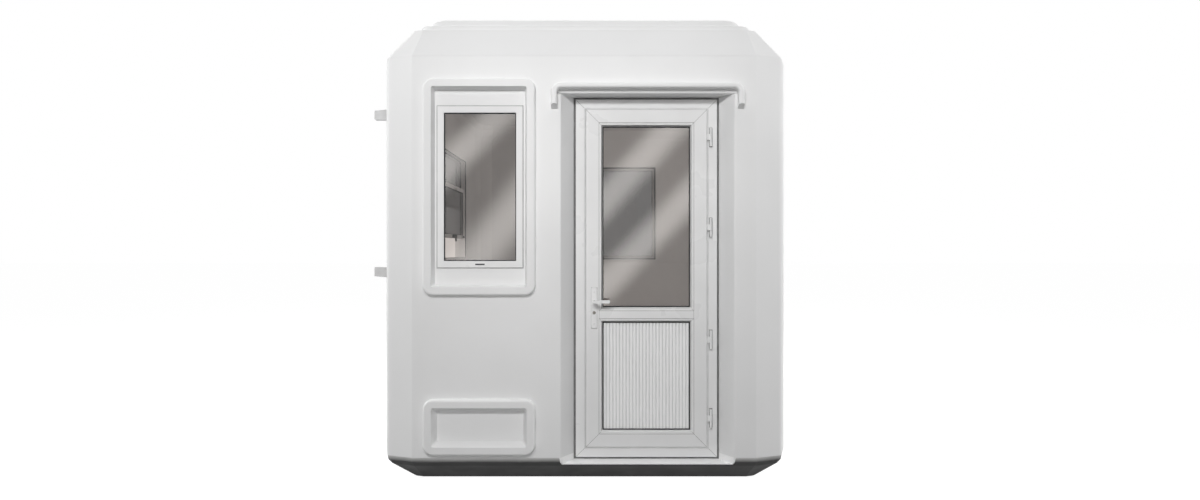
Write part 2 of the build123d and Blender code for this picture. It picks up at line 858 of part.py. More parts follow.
with BuildPart() as hinge_knuckles_frame:
    for level in hinge_levels:
        for foot in (level - hinge_length / 2, level + hinge_length / 2 - knuckle_length):
            with BuildSketch(Plane.XY.offset(foot)):
                with Locations((hinge_x, hinge_y)):
                    Circle(hinge_diameter / 2)
                with Locations((hinge_x, (hinge_y + frame_front_y) / 2)):
                    Rectangle(hinge_foot_width, frame_front_y - hinge_y)
            extrude(amount=knuckle_length)
        with BuildSketch(Plane.XY.offset(level - hinge_length / 2)):
            with Locations((hinge_x, hinge_y)):
                Circle(pin_diameter / 2)
        extrude(amount=hinge_length)
save(hinge_knuckles_frame.part, "hinge_knuckles_frame")

with BuildPart() as hinge_knuckles_leaf:
    for level in hinge_levels:
        with BuildSketch(Plane.XY.offset(level - knuckle_length / 2)):
            with Locations((hinge_x, hinge_y)):
                Circle(hinge_diameter / 2)
            with Locations(((leaf_right + hinge_x) / 2, hinge_y)):
                Rectangle(hinge_x - leaf_right, hinge_strap)
            with Locations((leaf_right + hinge_strap / 2, (hinge_y + leaf_front_y + hinge_plate_depth) / 2)):
                Rectangle(hinge_strap, leaf_front_y + hinge_plate_depth - hinge_y + hinge_strap)
            with Locations((hinge_x, hinge_y)):
                Circle(pin_diameter / 2 + pin_clearance, mode=Mode.SUBTRACT)
        extrude(amount=knuckle_length)
save(hinge_knuckles_leaf.part, "hinge_knuckles_leaf")
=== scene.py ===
# %% [markdown]
# A moulded cabin, dressed in Blender.
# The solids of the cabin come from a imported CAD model, which is loaded as a fixed frame.
# This lesson gives every solid a finish, adds the small trim that a moulder or a fitter would add last,
# and then lights the cabin in a plain white studio. Lengths are in metres, and +Z is up.

# %% Load the frame
import math

import bmesh
import bpy
from mathutils import Matrix, Vector


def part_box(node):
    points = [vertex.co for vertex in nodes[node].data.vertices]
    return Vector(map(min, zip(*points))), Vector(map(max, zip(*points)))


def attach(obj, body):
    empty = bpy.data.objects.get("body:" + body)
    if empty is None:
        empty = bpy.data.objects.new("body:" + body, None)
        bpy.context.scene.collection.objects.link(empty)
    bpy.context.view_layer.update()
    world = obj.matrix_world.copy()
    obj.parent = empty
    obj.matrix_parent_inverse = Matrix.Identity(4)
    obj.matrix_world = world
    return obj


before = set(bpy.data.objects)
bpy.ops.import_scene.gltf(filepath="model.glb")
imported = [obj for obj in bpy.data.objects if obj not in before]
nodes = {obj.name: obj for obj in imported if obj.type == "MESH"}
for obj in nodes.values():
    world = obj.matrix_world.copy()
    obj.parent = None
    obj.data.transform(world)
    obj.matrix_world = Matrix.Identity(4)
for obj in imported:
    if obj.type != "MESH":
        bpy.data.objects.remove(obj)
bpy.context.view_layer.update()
scene = bpy.context.scene
scene.view_settings.view_transform = "Standard"
mm = 0.001

# %% [markdown]
# The photograph is a front view in one-point perspective, 1200 by 500 pixels.
# A camera could be fitted by eye, but here the vanishing point is the middle of the picture, so the camera
# looks straight along +Y without shift. Only its place and its lens are needed: the lens comes from the
# focal length in pixels, on Blender's sensor of 36 mm.

# %% Camera
image_width, focal_pixels, sensor_width = 1200, 694, 36.0
camera_place = (81 * mm, -4919 * mm, 1211.5 * mm)
camera_data = bpy.data.cameras.new("front_camera")
camera_data.sensor_width = sensor_width
camera_data.lens = focal_pixels * sensor_width / image_width
camera = bpy.data.objects.new("front_camera", camera_data)
camera.location = camera_place
camera.rotation_euler = (math.pi / 2, 0, 0)
scene.collection.objects.link(camera)
scene.camera = camera
print("lens", round(camera_data.lens, 2), "mm")

# %% [markdown]
# A few small helpers serve all materials.
# Colours are written as sRGB hex values, as a painter would read them from a picture, and one function
# turns them into the linear values that a shader works with. Another adds a node with its settings and
# links. Pattern sizes are written in millimetres: a noise of scale 1 has blotches about a metre wide.

# %% Colour and node helpers
def linear(hex_colour):
    """An sRGB hex colour as linear RGBA."""
    channels = [int(hex_colour[i:i + 2], 16) / 255 for i in (1, 3, 5)]
    return [c / 12.92 if c <= 0.04045 else ((c + 0.055) / 1.055) ** 2.4 for c in channels] + [1.0]


def add_node(tree, kind, inputs=None, **settings):
    """Add a node: settings are its properties, inputs are values or the outputs linked to its sockets."""
    node = tree.nodes.new(kind)
    for name, value in settings.items():
        setattr(node, name, value)
    for socket, value in (inputs or {}).items():
        if isinstance(value, bpy.types.NodeSocket):
            tree.links.new(value, node.inputs[socket])
        else:
            node.inputs[socket].default_value = value
    return node


def per_metre(size_mm):
    """The texture scale that makes a pattern's features this many millimetres wide."""
    return 1000 / size_mm


def blank_material(name):
    """A new material with an empty node tree, its tree and its Object coordinates."""
    material = bpy.data.materials.new(name)
    material.use_nodes = True
    tree = material.node_tree
    tree.nodes.clear()
    place = add_node(tree, "ShaderNodeTexCoord").outputs["Object"]
    return material, tree, place


print("mid grey in linear values:", [round(value, 3) for value in linear("#808080")])

# %% [markdown]
# Most of the cabin is moulded, extruded or coated. Such a finish is never one even colour: it has faint
# blotches, its gloss changes with them, and its skin is slightly uneven. One function makes them all from
# two close colours, the width of the blotches, the range of roughness, and the size and depth of the skin.
# Noise gathers round its middle value, so the middle of its range is stretched.
# The shell comes first. It is glass-fibre laminate with a white gelcoat, which is sprayed into a polished
# mould, so it comes out smooth and glossy, with a slow waviness where the fibres print through. The sill
# gets a whiter copy of the gelcoat, which is painted light on its upward face.

# %% White gelcoat
def moulded_finish(name, light, dark, blotch_mm, rough, peel_mm, peel_depth_mm, shader):
    """A moulded or coated finish; shader holds the constants of the surface, such as its IOR."""
    material, tree, place = blank_material(name)
    blotch = add_node(tree, "ShaderNodeTexNoise", {
        "Vector": place, "Scale": per_metre(blotch_mm), "Detail": 3.0}).outputs["Fac"]
    share = add_node(tree, "ShaderNodeMapRange", {"Value": blotch, "From Min": 0.35, "From Max": 0.65})
    colour = add_node(tree, "ShaderNodeMix", {
        "Factor": share.outputs["Result"], 6: linear(light), 7: linear(dark)}, data_type="RGBA")
    gloss = add_node(tree, "ShaderNodeMapRange", {
        "Value": blotch, "From Min": 0.3, "From Max": 0.7, "To Min": rough[0], "To Max": rough[1]})
    peel = add_node(tree, "ShaderNodeTexNoise", {
        "Vector": place, "Scale": per_metre(peel_mm), "Detail": 2.0})
    skin = add_node(tree, "ShaderNodeBump", {
        "Height": peel.outputs["Fac"], "Strength": 0.6, "Distance": peel_depth_mm * mm})
    surface = add_node(tree, "ShaderNodeBsdfPrincipled", {
        "Base Color": colour.outputs[2], "Roughness": gloss.outputs["Result"],
        "Normal": skin.outputs["Normal"], **shader})
    add_node(tree, "ShaderNodeOutputMaterial", {"Surface": surface.outputs["BSDF"]})
    print("made", name)
    return material


gelcoat = {"IOR": 1.52}
white_gelcoat = moulded_finish(
    "white_gelcoat_laminate", "#EBEBEB", "#E6E6E6", 700, (0.30, 0.38), 60, 0.12, gelcoat)
# A whiter copy of the gelcoat: painted light on the sill's top.
sill_painted_light = moulded_finish(
    "white_gelcoat_sill_painted_light", "#FBFBFB", "#F7F7F7", 300, (0.34, 0.42), 60, 0.12, gelcoat)

# %% [markdown]
# The sloped skirt goes from the white of the walls at its top to a dull dark grey near the ground. The skirt
# faces the ground, and this dark grey is painted shade, darkest at its foot. The height above the ground
# drives a colour ramp, and a noise makes its edge uneven.

# %% Skirt with painted shade
painted_shade_skirt, tree, place = blank_material("skirt_gelcoat_painted_shade")
# The stops are painted shade: white at the crease, dark grey where the skirt faces the ground.
skirt_shade_stops = ((0.0, "#1C1C1C"), (0.50, "#3A3A3A"), (0.80, "#4A4A4A"), (0.96, "#D8D8D7"))
shade_edge_wander, ramp_height = 6 * mm, 150 * mm
height = add_node(tree, "ShaderNodeSeparateXYZ", {"Vector": place}).outputs["Z"]
mottle = add_node(tree, "ShaderNodeTexNoise", {
    "Vector": place, "Scale": per_metre(90), "Detail": 4.0}).outputs["Fac"]
stray = add_node(tree, "ShaderNodeMath", {0: mottle, 1: shade_edge_wander, 2: height}, operation="MULTIPLY_ADD")
level = add_node(tree, "ShaderNodeMapRange", {"Value": stray.outputs[0], "From Max": ramp_height})
ramp = add_node(tree, "ShaderNodeValToRGB", {"Fac": level.outputs["Result"]})
stops = ramp.color_ramp.elements
foot, *between, head = skirt_shade_stops
stops[0].color = linear(foot[1])
stops[1].position = head[0]
stops[1].color = linear(head[1])
for position, shade in between:
    stops.new(position).color = linear(shade)
grain = add_node(tree, "ShaderNodeTexNoise", {"Vector": place, "Scale": per_metre(10), "Detail": 2.0})
skin = add_node(tree, "ShaderNodeBump", {
    "Height": grain.outputs["Fac"], "Strength": 0.5, "Distance": 0.1 * mm})
gloss = add_node(tree, "ShaderNodeMapRange", {"Value": mottle, "To Min": 0.55, "To Max": 0.80})
surface = add_node(tree, "ShaderNodeBsdfPrincipled", {
    "Base Color": ramp.outputs["Color"], "Roughness": gloss.outputs["Result"],
    "Normal": skin.outputs["Normal"], "IOR": 1.5, "Specular IOR Level": 0.2})
add_node(tree, "ShaderNodeOutputMaterial", {"Surface": surface.outputs["BSDF"]})
print("made", painted_shade_skirt.name)

# %% [markdown]
# Frames and the door leaf are extruded uPVC, cut at 45 degrees and welded. The surface is satin and very
# even. The weld is scraped and stays duller, and the lip in the door joint is a softer grade. The small
# fittings are grey nylon and black ABS. The nylon's grey, darker than the hinges, is painted shade at the
# hinge ends, and the black also paints the shade in small holes.

# %% Plastics of frames, door and fittings
upvc, soft_pvc = {"IOR": 1.53}, {"IOR": 1.52}
white_upvc = moulded_finish("extruded_white_upvc", "#E7E7E7", "#E4E4E4", 220, (0.26, 0.34), 3, 0.02, upvc)
weld_line = moulded_finish("scraped_upvc_weld", "#A4A4A2", "#9A9A98", 20, (0.45, 0.55), 2, 0.03, upvc)
grey_lip = moulded_finish("grey_soft_pvc_lip", "#DEDEDE", "#D6D6D6", 60, (0.50, 0.60), 2, 0.03, soft_pvc)
# Grey nylon for the hinge caps, darker than the hinges as painted shade.
cap_nylon_painted_shade = moulded_finish("hinge_cap_nylon_painted_shade", "#A4A4A2", "#9A9A98", 20, (0.45, 0.55), 2, 0.03, upvc)
# Black ABS for the sash latches, and black as painted shade in screw recesses, key slots and drain slots.
black_abs_and_hole_shade = moulded_finish("black_abs_and_painted_hole_shade", "#1B1B1C", "#141415", 30, (0.40, 0.52), 1.2, 0.03, upvc)

# %% [markdown]
# The ribbed panel is uPVC too, a little duller, so that its ribs show as shade and not as glare.
# The panel is greyer in its grooves: the nearer a point lies to their depth, the greyer it is. A wave
# texture could draw the stripes too, but then its phase would have to match the ribs, and the flat back
# would get them.

# %% Ribbed panel
rib_depth, groove_grey_share = 4 * mm, 0.9
to_panel = nodes["door_panel"].matrix_world.inverted()
groove_y = min((to_panel @ corner).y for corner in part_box("door_panel")) + rib_depth
ribbed_upvc, tree, place = blank_material("ribbed_white_upvc")
depth = add_node(tree, "ShaderNodeSeparateXYZ", {"Vector": place}).outputs["Y"]
offset = add_node(tree, "ShaderNodeMath", {0: depth, 1: groove_y}, operation="SUBTRACT")
distance = add_node(tree, "ShaderNodeMath", {0: offset.outputs[0]}, operation="ABSOLUTE")
away_from_groove = add_node(tree, "ShaderNodeMapRange", {
    "Value": distance.outputs[0], "From Max": groove_grey_share * rib_depth})
colour = add_node(tree, "ShaderNodeMix", {
    "Factor": away_from_groove.outputs["Result"], 6: linear("#DADADA"), 7: linear("#FBFBFB")}, data_type="RGBA")
mottle = add_node(tree, "ShaderNodeTexNoise", {"Vector": place, "Scale": per_metre(180), "Detail": 3.0})
gloss = add_node(tree, "ShaderNodeMapRange", {
    "Value": mottle.outputs["Fac"], "To Min": 0.34, "To Max": 0.46})
surface = add_node(tree, "ShaderNodeBsdfPrincipled", {
    "Base Color": colour.outputs[2], "Roughness": gloss.outputs["Result"], "IOR": 1.53})
add_node(tree, "ShaderNodeOutputMaterial", {"Surface": surface.outputs["BSDF"]})
print("made", ribbed_upvc.name)

# %% [markdown]
# Seals are EPDM rubber, black or grey, matt with a fine grain. The lever, its plates, the hinges and the
# lugs are powder-coated aluminium, which has the skin of an orange at about two millimetres. The lock is
# nickel-plated brass, a metal, so it keeps the default IOR. Sealant is silicone, smooth and slightly shiny.

# %% Rubber, metals and sealant
rubber, dull_rubber = {"IOR": 1.5}, {"IOR": 1.5, "Specular IOR Level": 0.25}
coating, metal, silicone_rubber = {"IOR": 1.5}, {"Metallic": 1.0}, {"IOR": 1.43}
black_epdm = moulded_finish(
    "black_epdm_rubber", "#303030", "#282828", 40, (0.62, 0.78), 1.5, 0.05, dull_rubber)
grey_epdm = moulded_finish("grey_epdm_rubber", "#808080", "#747474", 40, (0.62, 0.78), 1.5, 0.05, rubber)
powder_coat = moulded_finish("white_powder_coat", "#ECECEC", "#E8E8E8", 60, (0.32, 0.40), 2, 0.06, coating)
grey_coat = moulded_finish("grey_powder_coat", "#D0D0D0", "#CACACA", 60, (0.36, 0.44), 2, 0.06, coating)
nickel = moulded_finish("dull_nickel_plate", "#7C7A76", "#625F5B", 8, (0.30, 0.48), 0.8, 0.02, metal)
# Grey silicone for the sealant and the pane edges; round the frames its grey also paints shade.
silicone_and_edge_shade = moulded_finish(
    "grey_silicone_and_painted_edge_shade", "#B8B8B8", "#ACACAC", 50, (0.34, 0.44), 7, 0.15, silicone_rubber)

# %% [markdown]
# The floor is sheet vinyl with a printed fleck. Flecks are scattered cells, so a Voronoi pattern of about
# 6 mm is drawn over the base grey, coarser than the real 2 mm so that it shows.

# %% Floor covering
floor_vinyl, tree, place = blank_material("flecked_sheet_vinyl")
cells = add_node(tree, "ShaderNodeTexVoronoi", {"Vector": place, "Scale": per_metre(6)})
fleck = add_node(tree, "ShaderNodeMapRange", {
    "Value": cells.outputs["Color"], "From Min": 0.3, "From Max": 0.9})
colour = add_node(tree, "ShaderNodeMix", {
    "Factor": fleck.outputs["Result"], 6: linear("#8A8681"), 7: linear("#A39F99")}, data_type="RGBA")
emboss = add_node(tree, "ShaderNodeBump", {
    "Height": cells.outputs["Distance"], "Strength": 0.3, "Distance": 0.2 * mm})
surface = add_node(tree, "ShaderNodeBsdfPrincipled", {
    "Base Color": colour.outputs[2], "Roughness": 0.5, "Normal": emboss.outputs["Normal"]})
add_node(tree, "ShaderNodeOutputMaterial", {"Surface": surface.outputs["BSDF"]})
print("made", floor_vinyl.name)

# %% [markdown]
# The glass is tinted float glass: bronze in the door and the front window, grey in the other windows.
# Cycles would treat a refracting pane as opaque to lamps, so for shadow rays and for bounced light the pane
# becomes a tinted transparent film. What the eye sees is still real glass, with its gloss and a faint
# waviness from toughening. Rain leaves a thin film of dust, which is a small change in roughness.

# %% Tinted glass
def tinted_glass(name, tint):
    """Float glass that the camera sees as glass and that lets lamp light through."""
    material, tree, place = blank_material(name)
    wave = add_node(tree, "ShaderNodeTexNoise", {
        "Vector": place, "Scale": per_metre(240), "Detail": 1.0}).outputs["Fac"]
    float_wave = add_node(tree, "ShaderNodeBump", {"Height": wave, "Strength": 0.25, "Distance": 0.4 * mm})
    film = add_node(tree, "ShaderNodeMapRange", {
        "Value": wave, "From Min": 0.3, "From Max": 0.7, "To Min": 0.0, "To Max": 0.004})
    glass = add_node(tree, "ShaderNodeBsdfPrincipled", {
        "Base Color": linear(tint), "Transmission Weight": 1.0, "IOR": 1.52, "Specular IOR Level": 0.8,
        "Roughness": film.outputs["Result"], "Normal": float_wave.outputs["Normal"]})
    clear = add_node(tree, "ShaderNodeBsdfTransparent", {"Color": linear(tint)})
    path = add_node(tree, "ShaderNodeLightPath")
    lamp_light = add_node(tree, "ShaderNodeMath", {
        0: path.outputs["Is Shadow Ray"], 1: path.outputs["Is Diffuse Ray"]}, operation="MAXIMUM")
    both = add_node(tree, "ShaderNodeMixShader", {
        "Fac": lamp_light.outputs["Value"], 1: glass.outputs["BSDF"], 2: clear.outputs["BSDF"]})
    add_node(tree, "ShaderNodeOutputMaterial", {"Surface": both.outputs["Shader"]})
    print("made", name)
    return material


bronze_glass = tinted_glass("bronze_float_glass", "#C2BAB5")
grey_glass = tinted_glass("grey_float_glass", "#787C7F")

# %% [markdown]
# Every solid now gets its finish. The solids keep their meshes and places; only their material slots change.
# A table from the end of a name to a finish is easier to read than fifty lines. The first ending that fits
# counts, and what none fits is gelcoat.

# %% Dress the solids
finish_of_ending = {
    "door_glass": bronze_glass, "front_window_glass": bronze_glass, "_glass": grey_glass,
    "_seal": grey_epdm, "door_panel": ribbed_upvc, "door_beads": white_upvc, "door_frame": white_upvc,
    "door_leaf": white_upvc, "_window_frame": white_upvc, "_sash": white_upvc,
    "handle_levers": powder_coat, "plate_inside": powder_coat, "plate_outside": powder_coat,
    "knuckles_frame": powder_coat, "knuckles_leaf": powder_coat, "side_lugs": grey_coat,
    "lock_cylinder": nickel, "floor_deck": floor_vinyl, "base_tray": painted_shade_skirt, "door_sill": sill_painted_light,
}
for name, solid in nodes.items():
    fitting = (finish for ending, finish in finish_of_ending.items() if name.endswith(ending))
    solid.data.materials.clear()
    solid.data.materials.append(next(fitting, white_gelcoat))
print("dressed", len(nodes), "solids")

# %% [markdown]
# Trim is modelled on the walls, so each wall gets a frame of its own: x along the wall as seen from outside,
# y up and z outwards, with the origin on the ground below the middle of the wall's outer face.
# A bmesh starts in that frame and its place ends in the mesh, with the object left at the origin.
# The solids' own boxes say where a pane or a rail lies, so those places aren't typed again.

# %% Wall frames and boxes on them
half_width, half_depth = 1075 * mm, 1350 * mm
up = Vector((0, 0, 1))


def wall_frame(outward, distance):
    """A matrix from wall coordinates to the cabin's own."""
    along = up.cross(outward)
    turn = Matrix((along, up, outward)).transposed().to_4x4()
    return Matrix.Translation(outward * distance) @ turn


walls = {
    "front": wall_frame(Vector((0, -1, 0)), half_depth),
    "back": wall_frame(Vector((0, 1, 0)), half_depth),
    "left": wall_frame(Vector((-1, 0, 0)), half_width),
    "right": wall_frame(Vector((1, 0, 0)), half_width),
}


def on_wall(node, side):
    """The lowest and highest corner of a solid in a wall's own coordinates."""
    corners = [walls[side].inverted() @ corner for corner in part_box(node)]
    return Vector(map(min, *corners)), Vector(map(max, *corners))


def inset_box(box, margin):
    """A box made smaller by one margin along and up the wall."""
    step = Vector((margin, margin, 0))
    return box[0] + step, box[1] - step


print("front window", on_wall("front_window_frame", "front"))

# %% [markdown]
# Every new piece ends the same way: doubles are merged, normals are turned outwards, and the piece gets its
# finish and the body that it rides on.

# %% Fitting helper
merge_distance = 0.001 * mm


def fit_piece(name, shape, finish, body):
    """Turn a bmesh into a finished piece that rides on a body."""
    bmesh.ops.remove_doubles(shape, verts=shape.verts, dist=merge_distance)
    bmesh.ops.recalc_face_normals(shape, faces=shape.faces)
    mesh = bpy.data.meshes.new(name)
    shape.to_mesh(mesh)
    shape.free()
    mesh.materials.append(finish)
    piece = bpy.data.objects.new(name, mesh)
    scene.collection.objects.link(piece)
    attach(piece, body)
    print("fitted", name, "with", len(mesh.polygons), "faces on", body)


print("vertices closer than", merge_distance, "m are merged")

# %% [markdown]
# A gasket is a strip of rubber pressed between glass and frame. Seen from the front it is a thin dark ring.
# It could be swept along a curve, but a rectangle that is inset, emptied and pulled up gives square mitred
# corners at once, and a bevel rounds the lip.
# Each fixed pane has a gasket outside and a wider one in the room, since it is held from both sides. It is
# double glazing, so the grey seal of its edge shows in the room as a flat band.

# %% Gaskets of the fixed windows
def add_ring(shape, side, low, high, level, rail, depth, round_off):
    """Add a rectangular ring on a wall: outer corners, rail width, and depth outwards from a level."""
    middle, size = (low + high) / 2, high - low
    place = Matrix.Translation((middle.x, middle.y, level)) @ Matrix.Diagonal((size.x, size.y, 1, 1))
    made = bmesh.ops.create_grid(
        shape, x_segments=1, y_segments=1, size=0.5, matrix=walls[side] @ place)
    face = made["verts"][0].link_faces[0]
    bmesh.ops.inset_individual(shape, faces=[face], thickness=rail, use_even_offset=True)
    rails = list({f for edge in face.edges for f in edge.link_faces} - {face})
    bmesh.ops.delete(shape, geom=[face], context="FACES_ONLY")
    pulled = bmesh.ops.extrude_face_region(shape, geom=rails, use_keep_orig=True)["geom"]
    top = [part for part in pulled if isinstance(part, bmesh.types.BMVert)]
    lid = [part for part in pulled if isinstance(part, bmesh.types.BMFace)]
    bmesh.ops.translate(shape, verts=top, vec=walls[side].to_3x3() @ Vector((0, 0, depth)))
    rims = [edge for face in lid for edge in face.edges if sum(f in lid for f in edge.link_faces) == 1]
    bmesh.ops.bevel(
        shape, geom=rims, offset=round_off, segments=2, profile=0.5, affect="EDGES", material=-1)


frame_rail = 33 * mm
gasket_face, gasket_height, gasket_round = 5 * mm, 5 * mm, 1.2 * mm
room_gasket_face, room_gasket_height = 12 * mm, 6 * mm
edge_seal_face, edge_seal_height = 16 * mm, 0.4 * mm
for side in ("front", "back"):
    ring, band = bmesh.new(), bmesh.new()
    opening = inset_box(on_wall(f"{side}_window_frame", side), frame_rail)
    pane = on_wall(f"{side}_window_glass", side)
    add_ring(ring, side, *opening, pane[1].z, gasket_face, gasket_height, gasket_round)
    add_ring(ring, side, *pane, pane[0].z, room_gasket_face, -room_gasket_height, gasket_round)
    fit_piece(f"{side}_window_gasket", ring, black_epdm, "cabin")
    within = inset_box(pane, room_gasket_face)
    add_ring(band, side, *within, pane[0].z, edge_seal_face, -edge_seal_height, edge_seal_height / 3)
    fit_piece(f"{side}_pane_edge_seal", band, silicone_and_edge_shade, "cabin")

# %% [markdown]
# A side window has a fixed pane above and a lifting sash below. Their panes are thin, so the gaskets are
# flatter, and a seal runs round the opening in the room.

# %% Gaskets of the sliding windows
sash_rail, slider_pane = 28 * mm, 8 * mm
flat_gasket_height, thin_gasket_height = 4 * mm, 2.4 * mm
room_seal_face, room_seal_depth, room_seal_round = 2.5 * mm, 7.5 * mm, 0.8 * mm
for side in ("left", "right"):
    ring = bmesh.new()
    slider_box = on_wall(f"{side}_window_frame", side)
    opening = inset_box(slider_box, frame_rail)
    add_ring(ring, side, *opening, slider_box[0].z, room_seal_face, room_seal_depth, room_seal_round)
    pane = on_wall(f"{side}_window_glass", side)
    transom_top = (opening[0].y + opening[1].y + sash_rail) / 2
    upper = (Vector((opening[0].x, transom_top, 0)), opening[1])
    upper_back = pane[1].z - slider_pane
    add_ring(ring, side, *upper, pane[1].z, gasket_face, flat_gasket_height, gasket_round)
    add_ring(ring, side, *upper, upper_back, gasket_face, -thin_gasket_height, gasket_round)
    lower = inset_box(on_wall(f"{side}_window_sash", side), sash_rail)
    lower_face = pane[0].z + slider_pane
    add_ring(ring, side, *lower, lower_face, gasket_face, flat_gasket_height, gasket_round)
    add_ring(ring, side, *lower, pane[0].z, gasket_face, -flat_gasket_height, gasket_round)
    fit_piece(f"{side}_window_gasket", ring, black_epdm, "cabin")

# %% [markdown]
# The door's pane and its ribbed panel have gaskets too. They ride on the door, so they swing with it.

# %% Gaskets of the door
bead_edge, flange_edge = 15 * mm, 9 * mm
ring = bmesh.new()
for node in ("door_glass", "door_panel"):
    pane = on_wall(node, "front")
    outside, inside = inset_box(pane, bead_edge), inset_box(pane, flange_edge)
    add_ring(ring, "front", *outside, pane[1].z, gasket_face, gasket_height, gasket_round)
    add_ring(ring, "front", *inside, pane[0].z, gasket_face, -flat_gasket_height, gasket_round)
fit_piece("door_gaskets", ring, black_epdm, "door")

# %% [markdown]
# A soft lip closes the joint between the door's leaf and its frame, so the joint shows as a fine grey line.
# It is glued to the frame, and it stays clear of the leaf when the door swings.

# %% Lip in the door joint
frame_box = on_wall("door_frame", "front")
leaf_box = on_wall("door_leaf", "front")
frame_profile = 44 * mm
frame_inner = inset_box(frame_box, frame_profile)
lip_face, lip_height, lip_set_back, lip_round = 7.8 * mm, 3 * mm, 4 * mm, 1 * mm
ring = bmesh.new()
add_ring(ring, "front", *frame_inner, frame_box[1].z - lip_set_back, lip_face, lip_height, lip_round)
fit_piece("door_joint_lip", ring, grey_lip, "cabin")

# %% [markdown]
# Windows are set in their pockets with a bead of silicone that is smoothed with a finger. A low ring with a
# large bevel has that slope. Its grey, darker than the frame, also paints the shade along the frame's outer
# edge. It reaches a hair into the frame, so that no gap shows.

# %% Sealant
sealant_width, sealant_height, sealant_round = 5 * mm, 4 * mm, 2.2 * mm
sealant_overlap, pocket_floor = 0.2 * mm, -20 * mm
sealant_rail = sealant_width + sealant_overlap
for side in walls:
    ring = bmesh.new()
    outer = inset_box(on_wall(f"{side}_window_frame", side), -sealant_width)
    add_ring(ring, side, *outer, pocket_floor, sealant_rail, sealant_height, sealant_round)
    fit_piece(f"{side}_window_sealant", ring, silicone_and_edge_shade, "cabin")

# %% [markdown]
# Where two lengths of profile are welded at 45 degrees, the scraped weld leaves a fine line from the outer
# to the inner corner. A material could draw it, but a thin strip of mesh is there in every export.
# A strip is a cube that is stretched between two points on a wall, with all its edges bevelled. Four of
# them make the mitred corners of a frame.

# %% Weld lines of the door frame
def round_edges(shape, made, offset, segments):
    """Bevel all edges of what an operator just made."""
    edges = list({edge for vert in made["verts"] for edge in vert.link_edges})
    bmesh.ops.bevel(
        shape, geom=edges, offset=offset, segments=segments, profile=0.5, affect="EDGES", material=-1)


def add_strip(shape, side, start, end, level, width, height):
    """Add a thin strip between two points on a wall."""
    run = end - start
    turn = Matrix.Rotation(math.atan2(run.y, run.x), 4, "Z")
    middle = (start + end) / 2
    place = Matrix.Translation((middle.x, middle.y, level + height / 2)) @ turn
    size = Matrix.Diagonal((run.xy.length, width, height, 1))
    made = bmesh.ops.create_cube(shape, size=1, matrix=walls[side] @ place @ size)
    round_edges(shape, made, height / 3, 1)


def add_mitres(shape, side, outer, inner, level, width, height):
    """Add four strips from the corners of one box to those of another."""
    for i in (0, 1):
        for j in (0, 1):
            start = Vector((outer[i].x, outer[j].y, 0))
            end = Vector((inner[i].x, inner[j].y, 0))
            add_strip(shape, side, start, end, level, width, height)


weld_width, weld_height = 1.7 * mm, 0.25 * mm
weld = (weld_width, weld_height)
lines = bmesh.new()
add_mitres(lines, "front", frame_box, frame_inner, frame_box[1].z, *weld)
fit_piece("door_frame_welds", lines, weld_line, "cabin")

# %% [markdown]
# The door's leaf has the same mitres. Its rails also meet its stiles in two upright lines at the middle
# rail, and more mitres cross the corners of the glazing beads, which lie a little deeper.

# %% Weld lines of the door leaf
leaf_rail, pane_hold = 70 * mm, 3 * mm
bead_face, bead_drop = 10 * mm, 3 * mm
leaf_face = leaf_box[1].z
lines = bmesh.new()
leaf_inner = inset_box(leaf_box, leaf_rail)
add_mitres(lines, "front", leaf_box, leaf_inner, leaf_face, *weld)
rail_foot = on_wall("door_panel", "front")[1].y + pane_hold
rail_head = on_wall("door_glass", "front")[0].y - pane_hold
for x in (leaf_inner[0].x, leaf_inner[1].x):
    add_strip(lines, "front", Vector((x, rail_foot, 0)), Vector((x, rail_head, 0)), leaf_face, *weld)
for node in ("door_glass", "door_panel"):
    light = inset_box(on_wall(node, "front"), -pane_hold)
    add_mitres(lines, "front", light, inset_box(light, bead_face), leaf_face - bead_drop, *weld)
fit_piece("door_leaf_welds", lines, weld_line, "door")

# %% [markdown]
# The glazing beads are clipped into the leaf, and the handle plate is screwed onto it. Both leave a fine
# joint, which is drawn as a flat ring around them.

# %% Joints on the door
joint_face, joint_height = 2 * mm, 0.2 * mm
joint = (joint_face, joint_height, joint_height / 3)
ring = bmesh.new()
for node in ("door_glass", "door_panel"):
    bead = inset_box(on_wall(node, "front"), -pane_hold - joint_face)
    add_ring(ring, "front", *bead, leaf_face, *joint)
plate = inset_box(on_wall("handle_plate_outside", "front"), -joint_face / 2)
add_ring(ring, "front", *plate, leaf_face, *joint)
fit_piece("door_joints", ring, weld_line, "door")

# %% [markdown]
# Rain that gets into a window frame leaves through a slot in the foot rail, under a small cap. The cap is a
# ring, and the shade in its two slots is painted as two dark strips. The narrow front window has one cap,
# the wide ones have two.

